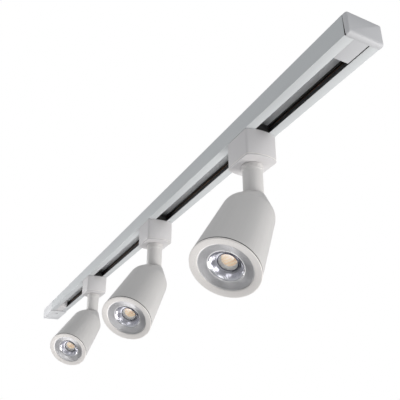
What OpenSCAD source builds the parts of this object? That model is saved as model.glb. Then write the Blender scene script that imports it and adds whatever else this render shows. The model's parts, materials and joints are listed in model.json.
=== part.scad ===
// Ceiling track light: a slotted track with a live-end feed and three
// adjustable spotlights. Each spotlight's adapter slides along the slot and is
// locked by a quarter-turn lever, its stem swivels and its head tilts.
// Origin: middle of the ceiling face. +X runs along the track, +Z is up.

/* [Track] */
// Length of the track profile
track_l = 1000; // [960:10:1500]
// Width of the track profile
track_w = 35; // [34:0.5:38]
// Height of the track profile
track_h = 20; // [20:0.5:22]
// Width of the slot in the underside
slot_w = 16; // [15.8:0.1:16.4]
// Distance of the two ceiling screw holes from the middle
ceiling_hole_x = 400; // [390:5:450]
// Diameter of the ceiling screw holes
ceiling_hole_d = 4.5; // [3.5:0.5:5]
// Length of the live-end feed box
feed_l = 86; // [80:1:100]

/* [Spotlights] */
// Places of the three spotlights along the track
spot_x = [340, 87, -210]; // [-400:1:450]
// Directions that the three heads face, measured from +X
spot_turn = [-60, -49.3, -43.3]; // [-90:0.1:90]
// Tilts of the three heads from straight down
spot_tilt = [35.2, 40.8, 44.8]; // [0:0.1:90]

/* [Adapter] */
// Length of the adapter box between its bowed ends
adapter_l = 44; // [44:0.5:48]
// Height of the adapter box with its cover
adapter_h = 29.4; // [28:0.2:34]
// Radius of the bow of each end
bow_r = 37; // [34:1:60]

/* [Stem and head] */
// Radius of the stem
stem_r = 10.1; // [9:0.1:10.2]
// Height of the tilt axis below the ceiling
pivot_drop = 88.7; // [88:0.5:110]
// Distance from the tilt axis to the front of the bezel
front_s = 99.6; // [99.6:0.2:105]
// Outer radius of the front of the head
front_r = 31.1; // [31:0.1:34]
// Outer radius of the head at the shoulder where its rear cone begins
shoulder_r = 25.7; // [25.2:0.1:27]

/* [Hidden] */
$fn = 72;
wall = 1.5;              // track walls
lip_t = 1.6;             // lips beside the slot
web_z = [-6.3, -5.1];    // web that closes the channel above the conductors
gap = 0.3;               // clearance between bodies that move
spots = [0 : len(spot_x) - 1];

// insulated conductors inside the track
carrier_y = 11.5;
carrier_top = -6.5;
carrier_bottom = -15.5;
groove_z = -10;
groove_h = 3.2;
copper_y = 13.2;
copper_t = 0.8;
copper_h = 2;
inner_y = track_w / 2 - wall;

// feed box and end cap
feed_h = track_h + 2.5;
shell_t = 2;
feed_end = -track_l / 2 - feed_l;
block_x = [feed_end + 26, feed_end + 50];
cover_screw_x = -track_l / 2 - 21;
tongue_l = 39;
terminal_y = 7;
inlet_r = 4.5;
cap_t = 5.6;

// adapter box and its quarter-turn lock
box_top = -track_h - gap;
box_bottom = box_top - adapter_h;
cover_t = 2;
box_t = 1.8;
corner_r = 3;
spigot_top = -44;
nut_z = [-47.4, -44.4];
lock_r = 6.5;
lock_z = [-28, -8];
lock_disc_z = [-27.2, box_top - 2.3];
lever_z = [-27.2, -24.8];
lug_z = [-track_h + lip_t + gap, -15.9];
lug_r = 14.8;
tab_r = copper_y - gap;
lever_r = 21.5;
lever_turn = 110;
lever_w = 8;
lever_swing = 90;
lever_room = 16;         // angle kept free beside the lever
contact_t = 0.8;
board_z = -31.6;

// stem
spigot_r = 8;
stem_bore_r = 4.5;
collar_r = stem_r + 0.6;
pin_r = 1.6;
pin_l = 26.4;
wire_bottom = -78;
ball_r = 11.2;

// head, measured along its axis from the tilt axis towards the front
shoulder_s = 21.9;
slope = (front_r - shoulder_r) / (front_s - shoulder_s);
shell_front = front_s - 2.4;
shell_rear = -6;
shell_rear_r = 11.4;
head_t = 2.6;
sink_s = [77, 84];
bore_r = 27.4;
slot_r = 10.5;
lens_r = 8.9;
lens_neck_s = 90.6;

PER_SPOT = ["adapter_housing", "adapter_cover", "adapter_tongue", "driver_board",
            "lock_rotor", "lock_contacts", "stem_tube", "stem_nut", "lamp_wires",
            "head_shell", "pivot_pin", "heat_sink", "led_module", "dome_lens",
            "reflector", "trim_cone", "bezel"];

// ---- outlines -------------------------------------------------------------

// Unit vector along v
function unit(v) = v / norm(v);

// Limits of a stretch from its middle and half its length
function around(middle, half) = [middle - half, middle + half];

// Points of a circular arc
function arc(c, r, from, to, n = 8) =
    [for (i = [0 : n]) c + r * [cos(from + (to - from) * i / n),
                                sin(from + (to - from) * i / n)]];

// Points of the arc of radius r that rounds the corner b between a and c
function fillet(a, b, c, r, n = 5) =
    let (u = unit(a - b), w = unit(c - b), half = acos(u * w) / 2,
         m = b + unit(u + w) * r / sin(half),
         p = b + u * r / tan(half) - m, q = b + w * r / tan(half) - m,
         from = atan2(p.y, p.x), sweep = atan2(cross(p, q), p * q))
    arc(m, r, from, from + sweep, n);

// A polygon with every corner rounded
function rounded(pts, r, n = 5) =
    let (k = len(pts))
    [for (i = [0 : k - 1]) each fillet(pts[(i + k - 1) % k], pts[i], pts[(i + 1) % k], r, n)];

// Outline of the adapter box, moved inwards by inset: one bowed end, then its mirror image
function adapter_outline(inset = 0) =
    let (r = bow_r - inset, y = track_w / 2 - inset, c = adapter_l / 2 - bow_r,
         a = asin(y / r), bow = arc([c, 0], r, 4 - a, a - 4, 10),
         corner = fillet(bow[len(bow) - 1], [c + r * cos(a), y], [0, y],
                         max(corner_r - inset, 0.8)),
         mirrored = [for (i = [len(corner) - 1 : -1 : 0]) [corner[i].x, -corner[i].y]],
         end = concat(mirrored, bow, corner))
    concat(end, [for (p = end) -p]);

// A rectangle given by its limits
module rect(x, y) {
    translate([x[0], y[0]]) square([x[1] - x[0], y[1] - y[0]]);
}

// A block given by its limits
module block(x, y, z) {
    translate([x[0], y[0], z[0]])
        cube([x[1] - x[0], y[1] - y[0], z[1] - z[0]]);
}

// Extrudes an outline drawn in Y and Z along X
module along_x(x) {
    translate([x[0], 0, 0]) rotate([90, 0, 90]) linear_extrude(x[1] - x[0]) children();
}

// Cylinder along Z between two heights
module post(r, z) {
    translate([0, 0, z[0]]) cylinder(r = r, h = z[1] - z[0]);
}

// Pan-head screw with a cross recess, pointing up from its seat
module screw(head_r, head_h, shank_r, shank_l) {
    difference() {
        union() {
            translate([0, 0, -head_h]) cylinder(r = head_r, h = head_h);
            cylinder(r = shank_r, h = shank_l);
        }
        for (a = [0, 90])
            rotate([0, 0, a]) translate([-head_r * 0.6, -0.3, -head_h - 1])
                cube([head_r * 1.2, 0.6, 1.7]);
    }
}

// ---- track ----------------------------------------------------------------

module track_channel() color("white") difference() {
    along_x([-track_l / 2, track_l / 2]) difference() {
        rect([-track_w / 2, track_w / 2], [-track_h, 0]);
        rect([-inner_y, inner_y], [-track_h + lip_t, web_z[0]]);
        rect([-inner_y, inner_y], [web_z[1], -wall]);
        rect([-slot_w / 2, slot_w / 2], [-track_h - 1, -track_h + lip_t + 1]);
    }
    for (x = [-ceiling_hole_x, ceiling_hole_x])
        translate([x, 0, 0]) post(ceiling_hole_d / 2, [web_z[0] - 1, 1]);
}

module conductor_carriers() color("#141414")
    along_x([-track_l / 2, track_l / 2])
        for (side = [0, 1]) mirror([side, 0]) difference() {
            rect([carrier_y, inner_y], [carrier_bottom, carrier_top]);
            rect([carrier_y - 1, copper_y], around(groove_z, groove_h / 2));
            rect([carrier_y, copper_y + copper_t], around(groove_z, copper_h / 2));
        }

module conductors() color("#b5713c")
    along_x([-track_l / 2, track_l / 2])
        for (side = [0, 1]) mirror([side, 0])
            rect([copper_y, copper_y + copper_t], around(groove_z, copper_h / 2));

module end_cap() color("#e4e4e8") {
    lip = 0.6;
    y = track_w / 2 + lip;
    union() {
        along_x([track_l / 2, track_l / 2 + cap_t])
            polygon(rounded([[-y, 0], [y, 0], [y, -track_h - lip], [-y, -track_h - lip]], 1.6));
        block([track_l / 2 - 24, track_l / 2 + 1], [-slot_w / 2 + 0.05, slot_w / 2 - 1],
              [-track_h, web_z[0] - gap]);
    }
}

// ---- live-end feed --------------------------------------------------------

module feed_housing() color("#e8e8ea") difference() {
    y = track_w / 2;
    union() {
        block([feed_end, -track_l / 2], [-y, y], [-shell_t, 0]);
        block([feed_end, feed_end + shell_t], [-y, y], [-feed_h + shell_t, 0]);
        for (side = [0, 1]) mirror([0, side, 0])
            block([feed_end, -track_l / 2], [y - shell_t, y], [-feed_h + shell_t, 0]);
        translate([cover_screw_x, 0, 0]) post(3.5, [-feed_h + shell_t, -shell_t + 1]);
    }
    translate([cover_screw_x, 0, 0]) post(1.3, [-feed_h, -6]);
    translate([feed_end - 1, 0, -11]) rotate([0, 90, 0]) cylinder(r = inlet_r, h = shell_t + 2);
}

module feed_cover() color("#ececec") difference() {
    block([feed_end, -track_l / 2], track_w / 2 * [-1, 1], [-feed_h, -feed_h + shell_t]);
    translate([cover_screw_x, 0, 0]) {
        post(1.6, [-feed_h - 1, -track_h]);
        post(3.2, [-feed_h - 1, -feed_h + 1]);
    }
}

module feed_insert() color("#d8d8d8") difference() {
    top = web_z[0] - gap;
    union() {
        block(block_x, [-14, 14], [-14, -shell_t]);
        block([block_x[1] - 1, cover_screw_x - 5], [-5, 5], [-14, -shell_t]);
        for (side = [0, 1]) mirror([0, side, 0])
            block([block_x[1] - 1, -track_l / 2], [5, 7.8], [-14, -shell_t]);
        rotate([90, 0, 0]) translate([0, 0, -slot_w / 2 + 0.2])
            linear_extrude(slot_w - 0.4)
                polygon([[-track_l / 2, top], [-track_l / 2, -track_h],
                         [-track_l / 2 + tongue_l, -track_h],
                         [-track_l / 2 + tongue_l + 9, top - 1.5],
                         [-track_l / 2 + tongue_l + 9, top]]);
    }
    translate([-track_l / 2 + 23, 0, -track_h - 1]) cylinder(r = 1.5, h = 5);
    for (y = terminal_y * [-1, 1]) {
        translate([block_x[0] - 1, y, -8]) rotate([0, 90, 0]) cylinder(r = 1.9, h = 16);
        translate([block_x[0] + 8, y, -15]) cylinder(r = 1.5, h = 7);
    }
}

module feed_contacts() color("#b5713c")
    for (side = [0, 1]) mirror([0, side, 0])
        block([block_x[1], -track_l / 2 + 30], [copper_y - 0.6, copper_y],
              around(groove_z, copper_h / 2));

module feed_screws() color("silver") {
    translate([cover_screw_x, 0, -feed_h + 1]) screw(3.0, 0.8, 1.3, 13);
    for (y = terminal_y * [-1, 1])
        translate([block_x[0] + 8, y, -14]) screw(2.4, 1.2, 1.5, 4);
}

// ---- adapter, drawn at its own place with X = 0 ---------------------------

module adapter_housing() color("#dcdadb") difference() {
    floor_z = box_bottom + cover_t;
    union() {
        difference() {
            translate([0, 0, floor_z]) linear_extrude(box_top - floor_z)
                polygon(adapter_outline());
            translate([0, 0, floor_z - 1]) linear_extrude(box_top - floor_z - 1)
                polygon(adapter_outline(box_t));
        }
        for (side = [0, 1]) mirror([0, side, 0])
            block([-14, 14], [13.7, 16.5], [board_z, board_z + 2]);
    }
    post(lock_r + gap, [-24, -19]);
    translate([0, 0, lever_z[0] - 0.6]) linear_extrude(lever_z[1] - lever_z[0] + 1.2)
        polygon(concat([[0, 0]], arc([0, 0], 32, lever_turn - lever_room,
                                     lever_turn + lever_swing + lever_room, 16)));
}

module adapter_cover() color("#e2e0e0") difference() {
    translate([0, 0, box_bottom]) linear_extrude(cover_t) polygon(adapter_outline());
    post(spigot_r + gap, [box_bottom - 1, box_bottom + cover_t + 1]);
}

module adapter_tongue() color("#161616") difference() {
    union() {
        block([-21, 21], [-7.5, 7.5], [box_top, -track_h + lip_t - 0.1]);
        for (side = [0, 1]) mirror([side, 0, 0])
            block([lug_r + 0.8, 21], [-7.5, 7.5], [box_top, -12]);
    }
    post(lock_r + gap, [box_top - 1, -10]);
}

module driver_board() color("#2c6e49") {
    block([-16.3, 16.3], [-15.3, 15.3], [board_z - 1.6, board_z]);
    block([6, 16], [-12, 1], [board_z - 10, board_z - 1.6]);
    block([-16, -7], [2, 12], [board_z - 6, board_z - 1.6]);
    translate([11, 8, 0]) post(4, [board_z - 10.5, board_z - 1.6]);
    translate([-11.5, -7, 0]) post(3.5, [board_z - 9, board_z - 1.6]);
}

module lock_rotor() color("#1d1d1d") difference() {
    union() {
        post(lock_r, lock_z);
        post(lock_r + 3, lock_disc_z);
        intersection() {
            block([-lock_r, lock_r], [-lug_r, lug_r], lug_z);
            post(lug_r, lug_z);
        }
        rotate([0, 0, lever_turn]) intersection() {
            block([0, lever_r], around(0, lever_w / 2), lever_z);
            post(lever_r, lever_z);
        }
    }
    for (side = [0, 1]) mirror([0, side, 0])
        block([-3, 3], [1.5, lock_r + 1], around(groove_z, contact_t / 2));
}

module lock_contacts() color("#c08040")
    for (side = [0, 1]) mirror([0, side, 0]) intersection() {
        block([-3, 3], [1.5, tab_r], around(groove_z, contact_t / 2));
        post(tab_r, around(groove_z, contact_t / 2));
    }

// ---- stem -----------------------------------------------------------------

module stem_tube() color("#d6d4d5") difference() {
    top = box_bottom - gap;
    groove = 0.4;
    union() {
        intersection() {
            post(stem_r, around(-pivot_drop, ball_r + 1));
            translate([0, 0, -pivot_drop]) sphere(ball_r);
        }
        rotate_extrude() polygon(concat(
            [[0, -pivot_drop + 1], [stem_r, -pivot_drop + 1],
             [stem_r, top - 6.2], [collar_r, top - 5.6]],
            [for (depth = [3.2, 1.6], side = [-1, 0, 1])
                [collar_r - (side == 0 ? groove : 0), top - depth + side * groove]],
            [[collar_r, top], [spigot_r, top], [spigot_r, spigot_top], [0, spigot_top]]));
    }
    post(stem_bore_r, [wire_bottom, spigot_top + 1]);
    translate([0, 0, -pivot_drop]) rotate([90, 0, 0])
        cylinder(r = pin_r + 0.15, h = 30, center = true);
}

module stem_nut() color("#c9c9c9") difference() {
    post(10.8, nut_z);
    post(spigot_r, around(nut_z[0], 5));
    for (a = [0 : 90 : 270])
        rotate([0, 0, a]) block([9.6, 12], [-1.5, 1.5], around(nut_z[0], 5));
}

module lamp_wires() color("#a02020")
    for (x = [-1.6, 1.6]) translate([x, 0, 0]) post(1.1, [wire_bottom, spigot_top + 2]);

// ---- head, drawn facing straight down with the tilt axis at the origin -----

// Outer radius of the shell at distance s in front of the tilt axis
function shell_r(s) = shoulder_r + slope * (s - shoulder_s);

// A solid of revolution from points [radius, distance in front of the tilt axis]
module turned(pts) {
    rotate_extrude() polygon([for (p = pts) [p.x, -p.y]]);
}

module head_shell() color("#d2d2d2") {
    cone = [shoulder_r - shell_rear_r, shoulder_s - shell_rear];
    inset = head_t * [norm(cone) / cone.y, 0];
    rear = [shell_rear_r, shell_rear];
    shoulder = [shoulder_r, shoulder_s];
    front = [shell_r(shell_front), shell_front];
    seat = [shell_r(sink_s[0]) - head_t, sink_s[0]];
    inner_rear = rear - inset + cone * 0.1;
    difference() {
        turned(concat(
            [[0, shell_rear]], fillet([0, shell_rear], rear, shoulder, 0.4),
            fillet(rear, shoulder, front, 12, 8),
            [front, [bore_r, shell_front], [bore_r, sink_s[0]], seat],
            fillet(seat, shoulder - inset, inner_rear, 8),
            [inner_rear, [0, inner_rear.y]]));
        sphere(ball_r + gap);
        post(slot_r, [-slot_r, slot_r]);
        block([0, 40], [-slot_r, slot_r], [-slot_r, slot_r]);
        pivot_pin();
    }
}

module pivot_pin() color("silver")
    rotate([90, 0, 0]) cylinder(r = pin_r, h = pin_l, center = true);

module heat_sink() color("#9a9da0") union() {
    fin_z = [-sink_s[0] - 1, -33];
    fin_r = 21.5;
    post(bore_r, [-sink_s[1], -sink_s[0]]);
    post(5, fin_z);
    for (a = [0 : 22.5 : 179])
        rotate([0, 0, a]) block([-fin_r, fin_r], [-0.7, 0.7], fin_z);
}

module led_module() color("#e8c26a") union() {
    post(20, [-sink_s[1] - 1.4, -sink_s[1]]);
    post(6, [-sink_s[1] - 2.1, -sink_s[1] - 1]);
}

module dome_lens() color("#dfe6ea", 0.5) {
    base = sink_s[1] + 1.4;
    rise = 3.5;
    cap_r = (lens_r * lens_r + rise * rise) / 2 / rise;
    turned(concat([[0, base + 1.8], [7.6, base + 1.8], [7.6, base], [lens_r, base]],
                  arc([0, lens_neck_s + rise - cap_r], cap_r, asin((cap_r - rise) / cap_r), 90)));
}

module reflector() color("#b8bcc4") {
    base = sink_s[1] + 1.4;
    turned([[lens_r + 0.1, base], [10.1, base], [10.1, 89.6], [17.4, 94.2], [17.4, 95.4],
            [15.6, 95.4], [lens_r + 0.1, lens_neck_s]]);
}

module trim_cone() color("#aeb0b4")
    turned([[15.6, 95.4], [15.6, 96.2], [24.3, 97.9], [26.4, 97.9], [26.4, 92],
            [25.2, 92], [25.2, 96.4], [24.3, 96.4], [17.4, 95.4]]);

module bezel() color("#f4efec")
    turned([[26.4, 90], [bore_r, 90], [bore_r, shell_front + 0.9],
            [front_r - 0.5, shell_front + 0.9], [front_r, shell_front + 1.3],
            [front_r, front_s - 0.4], [front_r - 0.4, front_s], [front_r - 1.2, front_s],
            [24.3, 98.4], [24.3, 97.9], [26.4, 97.9]]);

// ---- placing --------------------------------------------------------------

// Puts an adapter piece in its place on the track
module on_track(i) {
    translate([spot_x[i], 0, 0]) children();
}

// Puts a stem piece in its place, turned to the way the head faces
module on_stem(i) {
    on_track(i) rotate([0, 0, spot_turn[i]]) children();
}

// Puts a head piece in its place at its tilt
module on_pivot(i) {
    on_stem(i) translate([0, 0, -pivot_drop]) rotate([0, -spot_tilt[i], 0]) children();
}

track_channel();
conductor_carriers();
conductors();
end_cap();
feed_housing();
feed_cover();
feed_insert();
feed_contacts();
feed_screws();
for (i = spots) {
    n = str("_", i + 1);
    on_track(i) adapter_housing();
    on_track(i) adapter_cover();
    on_track(i) adapter_tongue();
    on_track(i) driver_board();
    on_track(i) lock_rotor();
    on_track(i) lock_contacts();
    on_stem(i) stem_tube();
    on_stem(i) stem_nut();
    on_stem(i) lamp_wires();
    on_pivot(i) head_shell();
    on_pivot(i) pivot_pin();
    on_pivot(i) heat_sink();
    on_pivot(i) led_module();
    on_pivot(i) dome_lens();
    on_pivot(i) reflector();
    on_pivot(i) trim_cone();
    on_pivot(i) bezel();
}
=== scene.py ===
# %% [markdown]
# # A ceiling track light with three spotlights
# The fixture is a slotted aluminium track. Three adapters slide in its slot, and each
# carries a stem and a tapered LED head. The working model is already there: this lesson
# loads it as a fixed frame, and gives every visible piece its fine shape and its finish.

# %% Load the frame
import json
import math

import bmesh
import bpy
from mathutils import Matrix, Vector


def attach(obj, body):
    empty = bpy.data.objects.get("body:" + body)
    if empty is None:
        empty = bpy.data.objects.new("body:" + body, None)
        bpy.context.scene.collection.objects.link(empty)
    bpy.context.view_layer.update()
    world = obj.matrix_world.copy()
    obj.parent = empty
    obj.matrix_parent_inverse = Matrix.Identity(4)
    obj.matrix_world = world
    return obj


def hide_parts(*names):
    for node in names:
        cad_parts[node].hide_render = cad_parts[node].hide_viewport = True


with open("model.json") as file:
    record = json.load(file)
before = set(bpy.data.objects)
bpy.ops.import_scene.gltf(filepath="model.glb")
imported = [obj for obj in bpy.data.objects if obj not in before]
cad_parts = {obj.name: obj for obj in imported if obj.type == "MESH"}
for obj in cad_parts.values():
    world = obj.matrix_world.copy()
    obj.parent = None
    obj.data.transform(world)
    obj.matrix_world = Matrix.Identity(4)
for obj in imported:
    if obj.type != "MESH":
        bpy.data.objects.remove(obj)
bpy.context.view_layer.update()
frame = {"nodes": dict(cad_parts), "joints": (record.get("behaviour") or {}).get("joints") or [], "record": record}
SPOTS = (1, 2, 3)
MM = 0.001
WELD = 0.000002

# %% [markdown]
# ## The camera
# The camera hangs below the track, past its capped end, and looks up along it. A camera
# points along its own -Z, so its three axes are worked out from the way it faces, and a
# small shift slides the frame without turning the view.

# %% Camera
CAMERA_PLACE = Vector((0.7181, -0.2483, -0.2954))
YAW, PITCH, ROLL = 2.652, 0.423, -0.008
ahead = Vector((math.cos(PITCH) * math.cos(YAW), math.cos(PITCH) * math.sin(YAW), math.sin(PITCH)))
level = ahead.cross(Vector((0, 0, 1))).normalized()
above = level.cross(ahead)
right = level * math.cos(ROLL) + above * math.sin(ROLL)
up = above * math.cos(ROLL) - level * math.sin(ROLL)

camera_data = bpy.data.cameras.new("camera")
camera_data.lens = 46.62
camera_data.sensor_width = 36
camera_data.shift_x = -0.0269
camera_data.shift_y = 0.0165
camera_data.clip_start = 0.01
camera = bpy.data.objects.new("camera", camera_data)
bpy.context.scene.collection.objects.link(camera)
turn = Matrix((right, up, -ahead)).transposed().to_4x4()
camera.matrix_world = Matrix.Translation(CAMERA_PLACE) @ turn
bpy.context.scene.camera = camera
print("camera at", tuple(round(v, 3) for v in CAMERA_PLACE))

# %% [markdown]
# ## The studio
# White fixtures need soft light from several sides, or their faces run together. A weak
# pale world fills the shadows. The key panel, low on the right, shades each head from
# light to dark. Weaker panels reach the undersides, the capped end and the far end, and a
# black cloth below the left darkens one side of the polished rings.
#
# The world and the floor are paler to the camera than to the pieces, so the backdrop can
# stay bright while the light on the fixture is set on its own.

# %% World
scene = bpy.context.scene
scene.view_settings.view_transform = "Standard"


def by_camera_ray(tree, to_pieces, to_camera, target):
    """Links a mix to target that shows to_camera to the camera, to_pieces to other rays."""
    path = tree.nodes.new("ShaderNodeLightPath")
    mix = tree.nodes.new("ShaderNodeMixShader")
    tree.links.new(path.outputs["Is Camera Ray"], mix.inputs["Fac"])
    tree.links.new(to_pieces.outputs[0], mix.inputs[1])
    tree.links.new(to_camera.outputs[0], mix.inputs[2])
    tree.links.new(mix.outputs[0], target)

world = bpy.data.worlds.new("studio")
scene.world = world
world.use_nodes = True
tree = world.node_tree
tree.nodes.clear()
out = tree.nodes.new("ShaderNodeOutputWorld")
seen = tree.nodes.new("ShaderNodeBackground")
seen.inputs["Color"].default_value = (1, 1, 1, 1)
seen.inputs["Strength"].default_value = 1.0
fill = tree.nodes.new("ShaderNodeBackground")
fill.inputs["Color"].default_value = (0.96, 0.98, 1, 1)
fill.inputs["Strength"].default_value = 0.45
by_camera_ray(tree, fill, seen, out.inputs["Surface"])
print("world fill:", round(fill.inputs["Strength"].default_value, 2))

# %% Floor and black cloth
def stage_plane(name, finish_name, size, place):
    """A flat square of the stage, with its own material."""
    bpy.ops.object.select_all(action="DESELECT")
    bpy.ops.mesh.primitive_plane_add(size=size, location=place)
    plane = bpy.context.object
    plane.name = name
    material = bpy.data.materials.new(finish_name)
    material.use_nodes = True
    plane.data.materials.append(material)
    return plane, material.node_tree

floor, tree = stage_plane("floor", "pale_floor", 14, (0, 0, -2.6))
pale = tree.nodes.new("ShaderNodeEmission")
pale.inputs["Color"].default_value = (0.84, 0.85, 0.86, 1)
by_camera_ray(tree, tree.nodes["Principled BSDF"], pale,
              tree.nodes["Material Output"].inputs["Surface"])

cloth, tree = stage_plane("black_flag", "black_cloth", 1.8, (-0.55, -1.36, -1.08))
cloth.visible_camera = False
tree.nodes["Principled BSDF"].inputs["Base Color"].default_value = (0.01, 0.01, 0.01, 1)
print("floor at", round(floor.location.z, 2), "cloth at", round(cloth.location.z, 2))

# %% Lamps
def panel(name, place, target, size, power, colour=(1, 1, 1)):
    """A square soft light at place that faces target."""
    data = bpy.data.lights.new(name, "AREA")
    data.size = size
    data.energy = power
    data.color = colour
    lamp = bpy.data.objects.new(name, data)
    scene.collection.objects.link(lamp)
    lamp.location = place
    lamp.rotation_euler = (Vector(target) - Vector(place)).to_track_quat("-Z", "Y").to_euler()

panel("key_panel", (0.75, 1.0, -0.95), (0.1, 0, -0.05), 0.9, 15, (1, 0.985, 0.965))
panel("low_panel", (-0.25, -0.02, -1.08), (0.0, 0, 0), 0.75, 2.6)
panel("front_panel", (1.5, -0.7, -0.9), (0.1, 0, -0.05), 0.6, 2.2)
panel("feed_panel", (-0.8, -0.75, -0.12), (-0.42, 0, -0.03), 0.45, 4.0)
panel("far_panel", (-0.75, -0.6, -0.5), (-0.25, 0, -0.14), 0.4, 0.9, (1, 0.985, 0.975))
panel("left_panel", (0.3, -1.6, 0.5), (0, 0, -0.02), 0.8, 0.4, (0.93, 0.97, 1))
panel("end_panel", (1.9, 0.2, 0.1), (0.2, 0, -0.05), 0.7, 2.4)

# %% [markdown]
# ## Shader effects that several finishes share
# Paint and moulded plastic are never perfectly even. Two small node groups carry that:
# one varies tone and relief like the skin of sprayed paint or a moulding, and one finds
# the outer edges, where a coat is thinner and wears, and where a painted highlight lightens them.
# Both read Object coordinates, so the pattern stays on the piece when it moves.

# %% Helpers for nodes
def new_group(name, inputs, outputs):
    """A shader node group with float inputs {name: default} and named float outputs."""
    group = bpy.data.node_groups.new(name, "ShaderNodeTree")
    for label, value in inputs.items():
        socket = group.interface.new_socket(label, in_out="INPUT", socket_type="NodeSocketFloat")
        socket.default_value = value
    for label in outputs:
        group.interface.new_socket(label, in_out="OUTPUT", socket_type="NodeSocketFloat")
    group.nodes.new("NodeGroupInput")
    group.nodes.new("NodeGroupOutput")
    return group


def node(tree, kind, **settings):
    """A node whose inputs are set from values or linked from sockets."""
    made = tree.nodes.new(kind)
    inputs = settings.pop("inputs", {})
    for label, value in settings.items():
        setattr(made, label, value)
    for label, value in inputs.items():
        if isinstance(value, bpy.types.NodeSocket):
            tree.links.new(value, made.inputs[label])
        else:
            made.inputs[label].default_value = value
    return made

# %% Group: paint skin
skin = new_group("paint_skin", {"Grain": 900.0, "Cloud": 22.0, "Spread": 0.5}, ("Tone", "Relief"))
start, end = skin.nodes["Group Input"], skin.nodes["Group Output"]
where = node(skin, "ShaderNodeTexCoord").outputs["Object"]
fine = node(skin, "ShaderNodeTexNoise", inputs={
    "Vector": where, "Scale": start.outputs["Grain"], "Detail": 2.0, "Roughness": 0.55})
cloud = node(skin, "ShaderNodeTexNoise", inputs={
    "Vector": where, "Scale": start.outputs["Cloud"], "Detail": 3.0, "Roughness": 0.5})
both = node(skin, "ShaderNodeMix", inputs={
    "Factor": start.outputs["Spread"], "A": fine.outputs["Fac"], "B": cloud.outputs["Fac"]})
skin.links.new(both.outputs["Result"], end.inputs["Tone"])
skin.links.new(fine.outputs["Fac"], end.inputs["Relief"])
print("group", skin.name, "ready")

# %% Group: edge wear and painted highlight
wear_highlight_group = new_group("edge_wear_and_highlight", {"Width": 0.0006, "Breakup": 180.0}, ("Mask",))
start, end = wear_highlight_group.nodes["Group Input"], wear_highlight_group.nodes["Group Output"]
rounded_normal = node(wear_highlight_group, "ShaderNodeBevel", samples=4, inputs={"Radius": start.outputs["Width"]})
true_normal = node(wear_highlight_group, "ShaderNodeNewGeometry")
facing = node(wear_highlight_group, "ShaderNodeVectorMath", operation="DOT_PRODUCT")
wear_highlight_group.links.new(rounded_normal.outputs["Normal"], facing.inputs[0])
wear_highlight_group.links.new(true_normal.outputs["Normal"], facing.inputs[1])
edge = node(wear_highlight_group, "ShaderNodeMapRange", inputs={
    "Value": facing.outputs["Value"], "From Min": 0.995, "From Max": 0.85,
    "To Min": 0.0, "To Max": 1.0})
patch = node(wear_highlight_group, "ShaderNodeTexNoise", inputs={
    "Vector": node(wear_highlight_group, "ShaderNodeTexCoord").outputs["Object"],
    "Scale": start.outputs["Breakup"], "Detail": 2.0})
mask = node(wear_highlight_group, "ShaderNodeMath", operation="MULTIPLY")
wear_highlight_group.links.new(edge.outputs["Result"], mask.inputs[0])
wear_highlight_group.links.new(patch.outputs["Fac"], mask.inputs[1])
wear_highlight_group.links.new(mask.outputs["Value"], end.inputs["Mask"])
print("group", wear_highlight_group.name, "ready")

# %% [markdown]
# ## The finishes
# A coated finish is two close tones mixed by the paint skin, a little wear and painted
# highlight along the edges, and a relief of a few hundredths of a millimetre. The same
# recipe makes satin paint, moulded plastic and bare copper, with its own numbers each time.

# %% Coated finishes
def finish(name, dark, light, gloss, relief, grain=900.0, cloud=22.0, spread=0.5, metal=0.0,
           edge_wear_highlight=0.12, width=0.0006, groove_shade=None):
    """A material: tones dark and light, roughness range gloss, relief in metres."""
    material = bpy.data.materials.new(name)
    material.use_nodes = True
    tree = material.node_tree
    shader = tree.nodes["Principled BSDF"]
    shader.inputs["Metallic"].default_value = metal
    surface = node(tree, "ShaderNodeGroup", node_tree=skin, inputs={
        "Grain": grain, "Cloud": cloud, "Spread": spread})
    edges = node(tree, "ShaderNodeGroup", node_tree=wear_highlight_group, inputs={"Width": width})
    tone = node(tree, "ShaderNodeMix", data_type="RGBA")
    tree.links.new(surface.outputs["Tone"], tone.inputs["Factor"])
    tone.inputs["A"].default_value = (*dark, 1)
    tone.inputs["B"].default_value = (*light, 1)
    # Edges are lightened by wear and by a painted highlight on their rounding.
    worn_and_highlit = node(tree, "ShaderNodeMix", data_type="RGBA", blend_type="SCREEN")
    worn_and_highlit.inputs["B"].default_value = (edge_wear_highlight, edge_wear_highlight, edge_wear_highlight, 1)
    tree.links.new(edges.outputs["Mask"], worn_and_highlit.inputs["Factor"])
    tree.links.new(tone.outputs[2], worn_and_highlit.inputs["A"])
    # Every other rib or flute is darkened: painted shade in the bottoms of the grooves.
    if groove_shade:
        flute = node(tree, "ShaderNodeAttribute", attribute_name="flute")
        groove_shaded = node(tree, "ShaderNodeMix", data_type="RGBA", blend_type="MULTIPLY")
        tree.links.new(flute.outputs["Fac"], groove_shaded.inputs["Factor"])
        tree.links.new(tone.outputs[2], groove_shaded.inputs["A"])
        groove_shaded.inputs["B"].default_value = (*groove_shade, 1)
        tree.links.new(groove_shaded.outputs[2], worn_and_highlit.inputs["A"])
    tree.links.new(worn_and_highlit.outputs[2], shader.inputs["Base Color"])
    rough = node(tree, "ShaderNodeMapRange", inputs={
        "Value": surface.outputs["Tone"], "From Min": 0.3, "From Max": 0.7,
        "To Min": gloss[0], "To Max": gloss[1]})
    tree.links.new(rough.outputs["Result"], shader.inputs["Roughness"])
    bump = node(tree, "ShaderNodeBump", inputs={
        "Height": surface.outputs["Relief"], "Distance": relief, "Strength": 0.6})
    tree.links.new(bump.outputs["Normal"], shader.inputs["Normal"])
    return material

# The lighter edges of the track paint and the adapter plastic are mostly a painted highlight.
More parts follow.
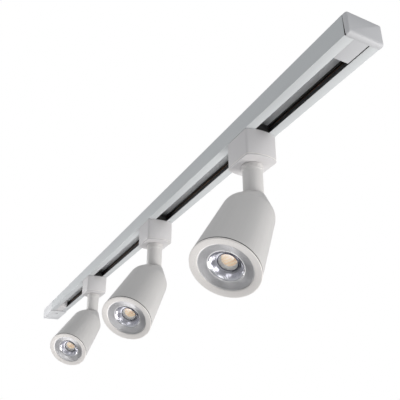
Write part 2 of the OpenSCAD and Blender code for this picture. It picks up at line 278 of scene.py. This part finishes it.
FINISH = {
    "track_paint": finish("satin_track_paint", (0.63, 0.65, 0.662), (0.705, 0.72, 0.728),
                          (0.34, 0.46), 0.00003, edge_wear_highlight=0.5, width=0.0008),
    "insulator": finish("black_pvc", (0.008, 0.008, 0.009), (0.02, 0.02, 0.021),
                        (0.35, 0.5), 0.00002),
    "copper": finish("rolled_copper", (0.45, 0.21, 0.10), (0.62, 0.32, 0.16),
                     (0.28, 0.42), 0.00001, metal=1.0),
    "white_plastic": finish("adapter_plastic", (0.69, 0.672, 0.676), (0.77, 0.752, 0.756),
                            (0.38, 0.5), 0.00003, grain=1300.0, edge_wear_highlight=0.6, width=0.0008),
    "cap_plastic": finish("cap_plastic", (0.59, 0.59, 0.605), (0.67, 0.67, 0.685),
                          (0.4, 0.52), 0.00003, grain=1300.0),
    "black_plastic": finish("black_plastic", (0.01, 0.01, 0.01), (0.03, 0.03, 0.03),
                            (0.4, 0.55), 0.00003),
    "head_paint": finish("satin_head_paint", (0.675, 0.658, 0.645), (0.74, 0.722, 0.709),
                         (0.30, 0.4), 0.00004, grain=1100.0),
    "bezel_white": finish("bezel_plastic", (0.92, 0.88, 0.85), (0.97, 0.93, 0.90),
                          (0.24, 0.34), 0.00001),
    "frosted_ring": finish("ribbed_ring", (0.70, 0.69, 0.695), (0.82, 0.81, 0.815),
                           (0.26, 0.34), 0.000005, metal=0.8, groove_shade=(0.72, 0.72, 0.74)),
    "cast_aluminium": finish("cast_aluminium", (0.42, 0.43, 0.44), (0.58, 0.59, 0.6),
                             (0.35, 0.5), 0.00005, metal=1.0),
    # A lighter copy of the track paint: painted light for the web deep in the slot.
    "lit_paint": finish("lit_track_paint", (0.95, 0.97, 0.98), (0.98, 0.99, 1.0),
                          (0.34, 0.46), 0.00003),
    "steel": finish("plated_steel", (0.5, 0.5, 0.5), (0.68, 0.68, 0.68),
                    (0.2, 0.32), 0.00001, metal=1.0),
    "feed_plastic": finish("feed_plastic", (0.74, 0.74, 0.755), (0.82, 0.82, 0.835),
                           (0.38, 0.5), 0.00003, grain=1300.0),
    "circuit_board": finish("circuit_board", (0.02, 0.10, 0.05), (0.03, 0.16, 0.08),
                            (0.3, 0.45), 0.00001),
    "wire_sheath": finish("wire_sheath", (0.3, 0.02, 0.02), (0.45, 0.04, 0.04),
                          (0.35, 0.5), 0.00001),
    "mirror_coating": finish("mirror_coating", (0.74, 0.74, 0.78), (0.86, 0.86, 0.9),
                             (0.16, 0.24), 0.000004, metal=1.0, groove_shade=(0.5, 0.48, 0.56)),
    "led_phosphor": finish("led_board", (0.75, 0.75, 0.73), (0.85, 0.85, 0.82),
                           (0.35, 0.5), 0.00001),
}
print(len(FINISH), "coated finishes")

# %% [markdown]
# ## The glass
# The dome over the LED is clear moulded glass. It keeps plain metal and transmission
# values, and its gloss comes from a very fine waviness left by the mould.

# %% Glass
glass = bpy.data.materials.new("dome_glass")
glass.use_nodes = True
shader = glass.node_tree.nodes["Principled BSDF"]
shader.inputs["Metallic"].default_value = 0.0
shader.inputs["Transmission Weight"].default_value = 1.0
shader.inputs["IOR"].default_value = 1.47
haze = node(glass.node_tree, "ShaderNodeGroup", node_tree=skin, inputs={"Grain": 400.0})
soft = node(glass.node_tree, "ShaderNodeMapRange", inputs={
    "Value": haze.outputs["Tone"], "To Min": 0.0, "To Max": 0.03})
glass.node_tree.links.new(soft.outputs["Result"], shader.inputs["Roughness"])
tint = node(glass.node_tree, "ShaderNodeMix", data_type="RGBA")
glass.node_tree.links.new(haze.outputs["Tone"], tint.inputs["Factor"])
tint.inputs["A"].default_value = (0.97, 0.98, 1, 1)
tint.inputs["B"].default_value = (1, 1, 1, 1)
glass.node_tree.links.new(tint.outputs[2], shader.inputs["Base Color"])
FINISH["clear_lens"] = glass
print("index of refraction:", round(shader.inputs["IOR"].default_value, 2))

# %% Put the finishes on the CAD pieces
slot_of = {p["node"]: p["material_slot"] for p in frame["record"]["subparts"]}
for name, piece in frame["nodes"].items():
    piece.data.materials.clear()
    piece.data.materials.append(FINISH[slot_of[name]])
for name in ("feed_housing", "feed_cover"):
    frame["nodes"][name].data.materials[0] = FINISH["feed_plastic"]
print("painted", len(frame["nodes"]), "nodes")

# %% [markdown]
# ## Softened castings and mouldings
# Every real edge is a little round, and it is that thin line of light that makes a box
# look moulded. Each showing CAD piece is copied, its loose triangles are merged and its
# flat faces joined, and a small bevel then runs round all of its sharp edges. The bevel's
# width in millimetres is given for each piece in EDGE.
#
# The end cap's far end is rounder than a bevel can make it. CAP_ROUND gives the depth of
# each ring behind the end face and how far it is drawn in, and CAP_LEAN how much of that
# also moves it sideways.

# %% Picking and rounding
body_of = {n: body for body, names in frame["record"]["behaviour"]["bodies"].items()
           for n in names}
CAP_ROUND = ((3.2, 0.0), (2.0, 0.12), (1.1, 0.4), (0.5, 0.8), (0.0, 1.7))
CAP_LEAN = 0.45


def selected_only(piece):
    """Makes piece the one selected and active object."""
    bpy.ops.object.select_all(action="DESELECT")
    piece.select_set(True)
    bpy.context.view_layer.objects.active = piece


def pick(piece, wanted):
    """Selects the vertices that pass a test, in edit mode."""
    shape = bmesh.from_edit_mesh(piece.data)
    for v in shape.verts:
        v.select = wanted(v)
    shape.select_flush_mode()


def rounded_end(piece):
    """Rounds a cap's far end with the rings of CAP_ROUND, which are in mm."""
    far = max(v.co.x for v in piece.data.vertices)
    low = min(v.co.z for v in piece.data.vertices)
    half = max(v.co.y for v in piece.data.vertices)
    for depth, _ in CAP_ROUND[:-1]:
        bpy.ops.mesh.select_all(action="SELECT")
        bpy.ops.mesh.bisect(plane_co=(far - depth * MM, 0, 0), plane_no=(1, 0, 0))
    for depth, amount in CAP_ROUND:
        pick(piece, lambda v: abs(v.co.x - far + depth * MM) < 0.02 * MM)
        bpy.ops.transform.resize(value=(1, 1 - amount * MM / half, 1 + 2 * amount * MM / low),
                                 center_override=(far, 0, low / 2))
        bpy.ops.transform.translate(value=(0, -CAP_LEAN * amount * MM, 0))

# %% Softened copies
def softened(name, width, segments=2, sharp=32, reshape=None):
    """A copy of a CAD piece with its sharp edges rounded by width, in its place."""
    piece = bpy.data.objects.new(name + "_soft", frame["nodes"][name].data.copy())
    scene.collection.objects.link(piece)
    selected_only(piece)
    bpy.ops.mesh.customdata_custom_splitnormals_clear()
    bpy.ops.object.mode_set(mode="EDIT")
    bpy.ops.mesh.select_all(action="SELECT")
    bpy.ops.mesh.remove_doubles(threshold=WELD)
    bpy.ops.mesh.dissolve_limited(angle_limit=math.radians(0.8))
    if reshape:
        reshape(piece)
    bpy.ops.object.mode_set(mode="OBJECT")
    bevel = piece.modifiers.new("soft_edge", "BEVEL")
    bevel.width = width * MM
    bevel.segments = segments
    bevel.angle_limit = math.radians(sharp)
    bpy.ops.object.modifier_apply(modifier=bevel.name)
    bpy.ops.object.shade_smooth_by_angle(angle=math.radians(sharp))
    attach(piece, body_of[name])
    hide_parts(name)
    return piece

EDGE = {"track_channel": 0.15, "end_cap": 0.25, "feed_housing": 0.5, "feed_cover": 0.5,
        "feed_insert": 0.3}
for n in SPOTS:
    EDGE[f"adapter_housing_{n}"] = 0.5
    EDGE[f"adapter_cover_{n}"] = 0.6
    EDGE[f"adapter_tongue_{n}"] = 0.3
    EDGE[f"stem_tube_{n}"] = 0.15
    EDGE[f"lock_rotor_{n}"] = 0.3
    EDGE[f"head_shell_{n}"] = 0.25
RESHAPE = {"end_cap": rounded_end}
soft = {name: softened(name, width, 3 if width > 0.5 else 2, reshape=RESHAPE.get(name))
        for name, width in EDGE.items()}
print("softened", len(soft), "pieces")

# %% [markdown]
# ## Faces with a finish of their own
# Some faces of a piece look unlike the rest of it. They are picked by where they lie and
# which way they face. On the track, the inner edge of each lip and the cut end behind the
# cap are painted black as shade. The web deep in the slot gets a lighter copy of the track
# paint, as painted light.

# %% Faces of the track
SLOT_HALF, WEB_Z, TRACK_END = 8 * MM, -6.3 * MM, 500 * MM
NEAR = 0.2 * MM


def paint_faces(piece, finish_name, wanted):
    """Gives the faces that pass a test their own finish, and counts them."""
    piece.data.materials.append(FINISH[finish_name])
    faces = [f for f in piece.data.polygons if wanted(f)]
    for face in faces:
        face.material_index = len(piece.data.materials) - 1
    return len(faces)


def shadowed(face):
    """True on the lips' inner edges and on the track's cut end."""
    lip = abs(abs(face.center.y) - SLOT_HALF) < NEAR and abs(face.normal.y) > 0.8
    cut_end = abs(face.center.x - TRACK_END) < NEAR and face.normal.x > 0.5
    return lip or cut_end

# The lip edges and the cut end get painted shade; the web a lighter paint as painted light.
black_faces = paint_faces(soft["track_channel"], "insulator", shadowed)
web_faces = paint_faces(soft["track_channel"], "lit_paint",
                        lambda f: abs(f.center.z - WEB_Z) < NEAR and f.normal.z < -0.9)
print("black faces:", black_faces, "web faces:", web_faces)

# %% [markdown]
# The heads' own faces and pieces have to follow each head, so its place is worked out
# first. It comes from the head's tilt joint: the joint's axis gives the way the head is
# turned, and its range gives the tilt at rest.

# %% Where each head points
def head_place(n):
    """The matrix that takes a head drawn facing down at the origin to its place."""
    joint = next(j for j in frame["joints"] if j["name"] == f"head_tilt_{n}")
    turn = math.atan2(joint["axis"][0], -joint["axis"][1])
    tilt = math.radians(-joint["range_deg"][0])
    place = Matrix.Translation(joint["pos_m"])
    return place @ Matrix.Rotation(turn, 4, "Z") @ Matrix.Rotation(-tilt, 4, "Y")


def reach(name, n):
    """(largest radius, nearest, farthest) of a head's CAD piece from its tilt axis, in mm."""
    home = head_place(n).inverted()
    points = [home @ v.co / MM for v in frame["nodes"][f"{name}_{n}"].data.vertices]
    along = [-p.z for p in points]
    return max(math.hypot(p.x, p.y) for p in points), min(along), max(along)

BEZEL_R, BEZEL_BACK, FRONT = reach("bezel", 1)
RING_R, RING_BACK, RING_FRONT = reach("trim_cone", 1)
BOWL_R, BOWL_BACK, BOWL_FRONT = reach("reflector", 1)
LENS_R, LENS_BACK, LENS_FRONT = reach("dome_lens", 1)
BOARD_R, BOARD_BACK, _ = reach("led_module", 1)
print("front", round(FRONT, 2), "bezel radius", round(BEZEL_R, 2), "bowl", round(BOWL_R, 2))

# %% [markdown]
# The front edge of each shell is painted black as painted shade, which makes the thin dark
# line in the gap behind the bezel.

# %% Painted shade on the shells' front edges
GAP_SHADE_FROM = FRONT - 2.8


def gap_shade_faces(n):
    """Paints the front edge of a head's shell black as painted shade, and counts its faces."""
    home = head_place(n).inverted()
    aim = home.to_3x3()
    return paint_faces(
        soft[f"head_shell_{n}"], "black_plastic",
        lambda f: -(home @ f.center).z / MM > GAP_SHADE_FROM and -(aim @ f.normal).z > 0.7)

print("gasket faces:", [gap_shade_faces(n) for n in SPOTS])

# %% [markdown]
# The lower rim of each adapter housing gets a painted highlight, which shows as a fine
# pale line above its cover.

# %% Rims with a painted highlight
RIM_HEIGHT = 0.7 * MM


def highlight_rim_faces(n):
    """Paints a highlight on the rounded lower rim of an adapter housing and counts its faces."""
    box = soft[f"adapter_housing_{n}"]
    rim_z = min(v.co.z for v in box.data.vertices)
    return paint_faces(box, "bezel_white",
                       lambda f: f.center.z < rim_z + RIM_HEIGHT and 0.2 < -f.normal.z < 0.98)

print("rim faces:", [highlight_rim_faces(n) for n in SPOTS])

# %% [markdown]
# ## The gap at the end cap
# The end cap was pushed on slightly askew, so a dark gap opens between it and the track,
# widest at the underside. Its seat is moved out on that side in two steps: the whole
# height first, then the lower part again.

# %% Cap standing off the track
SIDE_Y, LOWER_Z = -16.5 * MM, -14.5 * MM
cap = soft["end_cap"]
selected_only(cap)
bpy.ops.object.mode_set(mode="EDIT")
for top, shift in ((1, 0.8), (LOWER_Z, 0.7)):
    pick(cap, lambda v: abs(v.co.x - TRACK_END) < MM and v.co.y < SIDE_Y and v.co.z < top)
    bpy.ops.transform.translate(value=(shift * MM, 0, 0))
bpy.ops.object.mode_set(mode="OBJECT")
print("cap vertices:", len(cap.data.vertices))

# %% [markdown]
# ## Turned pieces of the head
# The bezel, the ribbed ring, the reflector and the lens are all round about the head's
# axis, so each starts as one vertex, is extruded point by point into half a section, and
# is spun. They are drawn once, facing straight down with the tilt axis at the origin,
# and each head gets its own copy, turned to where that head points.

# %% Turning and placing
def turned(name, outline, steps, smooth=30):
    """A shape spun about Z from (radius, distance in front of the tilt axis) points in mm."""
    bpy.ops.object.select_all(action="DESELECT")
    bpy.ops.mesh.primitive_plane_add(size=MM)
    piece = bpy.context.object
    piece.name = name
    bpy.ops.object.mode_set(mode="EDIT")
    bpy.ops.mesh.merge(type="CENTER")
    points = [Vector((r, 0, -s)) * MM for r, s in outline]
    bpy.ops.transform.translate(value=points[0])
    for a, b in zip(points, points[1:]):
        bpy.ops.mesh.extrude_region_move(TRANSFORM_OT_translate={"value": b - a})
    bpy.ops.mesh.select_all(action="SELECT")
    bpy.ops.mesh.spin(steps=steps, angle=math.tau, center=(0, 0, 0), axis=(0, 0, 1))
    bpy.ops.mesh.select_all(action="SELECT")
    bpy.ops.mesh.remove_doubles(threshold=WELD)
    bpy.ops.mesh.normals_make_consistent(inside=False)
    bpy.ops.object.mode_set(mode="OBJECT")
    if smooth:
        bpy.ops.object.shade_smooth_by_angle(angle=math.radians(smooth))
    return piece


def move_columns(piece, steps, radii, shift):
    """Moves every other column of a turned shape's vertices, where their radius is in radii."""
    def in_flute(v):
        r = math.hypot(v.co.x, v.co.y) / MM
        column = round(math.atan2(v.co.y, v.co.x) / math.tau * steps)
        return column % 2 == 1 and radii[0] < r < radii[1]

    selected_only(piece)
    bpy.ops.object.mode_set(mode="EDIT")
    bpy.ops.mesh.select_all(action="DESELECT")
    pick(piece, in_flute)
    bpy.ops.transform.translate(value=(0, 0, shift * MM))
    bpy.ops.object.mode_set(mode="OBJECT")
    flute = piece.data.attributes.new("flute", "FLOAT", "POINT")
    for v in piece.data.vertices:
        flute.data[v.index].value = float(v.select)


def on_heads(pattern, finish_name, *nodes):
    """A copy of a piece on each head, with its own mesh; the drawn one is then removed."""
    made = []
    for n in SPOTS:
        piece = bpy.data.objects.new(f"{pattern.name}_{n}", pattern.data.copy())
        scene.collection.objects.link(piece)
        piece.data.materials.clear()
        piece.data.materials.append(FINISH[finish_name])
        piece.matrix_world = head_place(n)
        selected_only(piece)
        bpy.ops.object.transform_apply(location=True, rotation=True, scale=True)
        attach(piece, f"head_{n}")
        if nodes:
            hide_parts(*(f"{name}_{n}" for name in nodes))
        made.append(piece)
    bpy.data.objects.remove(pattern)
    return made

# %% [markdown]
# ## Bezel
# The white bezel is a rounded band with a shallow slope inside it. It ends at the radius
# INNER_R, in millimetres, where the ribbed ring begins. A black strip fills the space
# behind its outer part, as painted shade in the gap there.

# %% Bezel and the black strip of painted shade behind it
INNER_R = 24.3
bezel = turned("bezel_ring", [
    (RING_R, FRONT - 1.5), (BEZEL_R - 0.5, FRONT - 1.5), (BEZEL_R - 0.12, FRONT - 1.35),
    (BEZEL_R, FRONT - 1.0), (BEZEL_R, FRONT - 0.5), (BEZEL_R - 0.15, FRONT - 0.18),
    (BEZEL_R - 0.5, FRONT), (BEZEL_R - 1.2, FRONT - 0.04), (INNER_R + 1.1, FRONT - 0.75),
    (INNER_R + 0.5, FRONT - 0.9), (INNER_R + 0.15, FRONT - 1.15), (INNER_R, FRONT - 1.5),
    (INNER_R, RING_FRONT), (RING_R, RING_FRONT), (RING_R, FRONT - 1.5)], 144)
bezels = on_heads(bezel, "bezel_white", "bezel")

# Black strip: painted shade in the gap behind the bezel.
sleeve = turned("bezel_sleeve", [
    (RING_R + 0.02, BEZEL_BACK), (RING_R + 1, BEZEL_BACK), (RING_R + 1, FRONT - 1.52),
    (RING_R + 0.02, FRONT - 1.52), (RING_R + 0.02, BEZEL_BACK)], 96)
sleeves = on_heads(sleeve, "black_plastic")
print("bezels:", len(bezels), "strips behind them:", len(sleeves))

# %% [markdown]
# ## Ribbed ring
# Between the bezel and the bowl lies a shallow ring with fine radial ribs that break up
# glare. The ribs are real: the ring is spun in many narrow steps, and every other column
# of vertices is pressed in. The same columns are marked on the mesh, and the finish
# darkens them a little with painted shade for the bottoms of the grooves.

# %% Ribbed ring
RIB_COLUMNS, RIB_DEPTH = 288, 0.2
rim = BOWL_R - 1.8
ring = turned("ribbed_ring", [
    (rim, BOWL_FRONT), (rim, BOWL_FRONT + 0.7),
    (BOWL_R - 1.5, BOWL_FRONT + 0.95), (BOWL_R - 1.0, BOWL_FRONT + 1.0),
    (BOWL_R - 0.7, BOWL_FRONT + 1.05), (INNER_R - 0.8, RING_FRONT - 0.25),
    (INNER_R - 0.4, RING_FRONT - 0.12), (INNER_R, RING_FRONT), (RING_R, RING_FRONT),
    (RING_R, RING_BACK), (RING_R - 1.2, RING_BACK), (RING_R - 1.2, RING_FRONT - 1.5),
    (INNER_R, RING_FRONT - 1.5), (BOWL_R, BOWL_FRONT), (rim, BOWL_FRONT)],
    RIB_COLUMNS, smooth=0)
move_columns(ring, RIB_COLUMNS, (BOWL_R - 0.8, INNER_R - 0.7), RIB_DEPTH)
rings = on_heads(ring, "frosted_ring", "trim_cone")
print("rings:", len(rings), "with", RIB_COLUMNS // 2, "ribs each")

# %% [markdown]
# ## Fluted bowl
# The reflector is a bright bowl pressed into narrow flutes, so that it breaks the LED's
# light and every reflection into slivers. Flat shading keeps each flute a clean facet, and
# every other flute is darkened with painted shade.

# %% Fluted bowl
FLUTE_COLUMNS, FLUTE_DEPTH = 144, 0.2
neck = BOWL_FRONT - 4.8
bowl = turned("fluted_bowl", [
    (LENS_R, BOWL_BACK), (LENS_R + 1.2, BOWL_BACK), (LENS_R + 1.2, neck - 1),
    (BOWL_R, BOWL_FRONT - 1.2), (BOWL_R, BOWL_FRONT), (rim, BOWL_FRONT),
    (rim - 0.4, BOWL_FRONT - 0.5), (rim - 2.2, BOWL_FRONT - 2.1),
    (rim - 4.2, BOWL_FRONT - 3.6), (LENS_R + 0.3, neck + 0.25), (LENS_R, neck),
    (LENS_R, BOWL_BACK)], FLUTE_COLUMNS, smooth=0)
move_columns(bowl, FLUTE_COLUMNS, (LENS_R + 0.5, rim - 0.6), FLUTE_DEPTH)
bowls = on_heads(bowl, "mirror_coating", "reflector")
print("bowls:", len(bowls), "with", FLUTE_COLUMNS // 2, "flutes each")

# %% [markdown]
# ## The LED under its lens
# A yellow phosphor disc in a white dam sits on a ceramic board. A clear dome stands over
# it, and a thin dark blue ring is drawn round the dome's rim. The dome's top is part of
# a sphere, whose radius follows from how far it rises over its width.

# %% Dome and the dark blue ring round it
DOME_STEPS = 12
rise = LENS_FRONT - neck
sphere_r = (LENS_R ** 2 + rise ** 2) / (2 * rise)
sweep = math.asin(LENS_R / sphere_r)
foot = LENS_BACK + 1.8
dome_top = []
for i in range(DOME_STEPS + 1):
    part = 1 - i / DOME_STEPS
    dome_top.append((sphere_r * math.sin(sweep * part) - 0.05 * part,
                     LENS_FRONT - sphere_r * (1 - math.cos(sweep * part))))
dome = turned("dome", [(0, foot), (LENS_R - 1.3, foot), (LENS_R - 1.3, LENS_BACK),
                       (LENS_R - 0.05, LENS_BACK)] + dome_top, 96, smooth=40)
domes = on_heads(dome, "clear_lens", "dome_lens")

FINISH["lens_edge"] = finish("dark_blue_lens_edge", (0.012, 0.012, 0.06), (0.03, 0.03, 0.12),
                             (0.15, 0.25), 0.000002, metal=0.6)
edge_ring = turned("lens_edge", [
    (LENS_R - 0.35, neck + 0.35), (LENS_R + 0.1, neck + 0.45), (LENS_R + 0.35, neck + 0.35),
    (LENS_R + 0.3, neck + 0.15), (LENS_R - 0.3, neck + 0.2), (LENS_R - 0.35, neck + 0.35)], 96)
edges = on_heads(edge_ring, "lens_edge")
print("domes:", len(domes), "edges:", len(edges), "rise:", round(rise, 2), "mm")

# %% [markdown]
# The phosphor covers a grid of tiny chips, so its tone is dotted. It also glows a little as
# painted light, so that it is not left dark under the glass dome.

# %% Phosphor
DOTS_PER_METRE = 1000.0
phosphor = bpy.data.materials.new("phosphor")
phosphor.use_nodes = True
tree = phosphor.node_tree
shader = tree.nodes["Principled BSDF"]
dots = node(tree, "ShaderNodeTexVoronoi", inputs={
    "Vector": node(tree, "ShaderNodeTexCoord").outputs["Object"],
    "Scale": DOTS_PER_METRE, "Randomness": 0.1})
amber = node(tree, "ShaderNodeMix", data_type="RGBA")
spots = node(tree, "ShaderNodeMapRange", inputs={
    "Value": dots.outputs["Distance"], "From Min": 0.2, "From Max": 0.55})
tree.links.new(spots.outputs["Result"], amber.inputs["Factor"])
amber.inputs["A"].default_value = (1.0, 0.88, 0.72, 1)
amber.inputs["B"].default_value = (0.74, 0.52, 0.33, 1)
tree.links.new(amber.outputs[2], shader.inputs["Base Color"])
tree.links.new(amber.outputs[2], shader.inputs["Emission Color"])
# Painted light: a weak glow in the phosphor's own tone.
shader.inputs["Emission Strength"].default_value = 0.6
shader.inputs["Roughness"].default_value = 0.55
FINISH["phosphor"] = phosphor
print("dots per mm:", DOTS_PER_METRE * MM)

# %% Board, dam and phosphor disc
PHOSPHOR_R, BOARD_THICK = 5.3, 1.4
board_face = BOARD_BACK + BOARD_THICK
# The white board and dam glow faintly: painted light in the dark cavity round the LED.
board_painted_glow = FINISH["led_phosphor"].node_tree.nodes["Principled BSDF"]
board_painted_glow.inputs["Emission Color"].default_value = (1, 0.97, 0.93, 1)
board_painted_glow.inputs["Emission Strength"].default_value = 0.15
board = turned("led_board", [
    (0, BOARD_BACK), (BOARD_R, BOARD_BACK), (BOARD_R, board_face - 0.2),
    (BOARD_R - 0.2, board_face), (PHOSPHOR_R + 0.9, board_face),
    (PHOSPHOR_R + 0.8, board_face + 0.5), (PHOSPHOR_R + 0.3, board_face + 0.65),
    (PHOSPHOR_R, board_face + 0.45), (PHOSPHOR_R, board_face), (0, board_face)], 96)
boards = on_heads(board, "led_phosphor", "led_module")
disc = turned("phosphor_disc", [
    (0, board_face + 0.02), (PHOSPHOR_R - 0.02, board_face + 0.02),
    (PHOSPHOR_R - 0.02, board_face + 0.4), (PHOSPHOR_R - 1, board_face + 0.55),
    (0, board_face + 0.6)], 96)
discs = on_heads(disc, "phosphor")
print("boards:", len(boards), "discs:", len(discs), "phosphor radius:", PHOSPHOR_R)
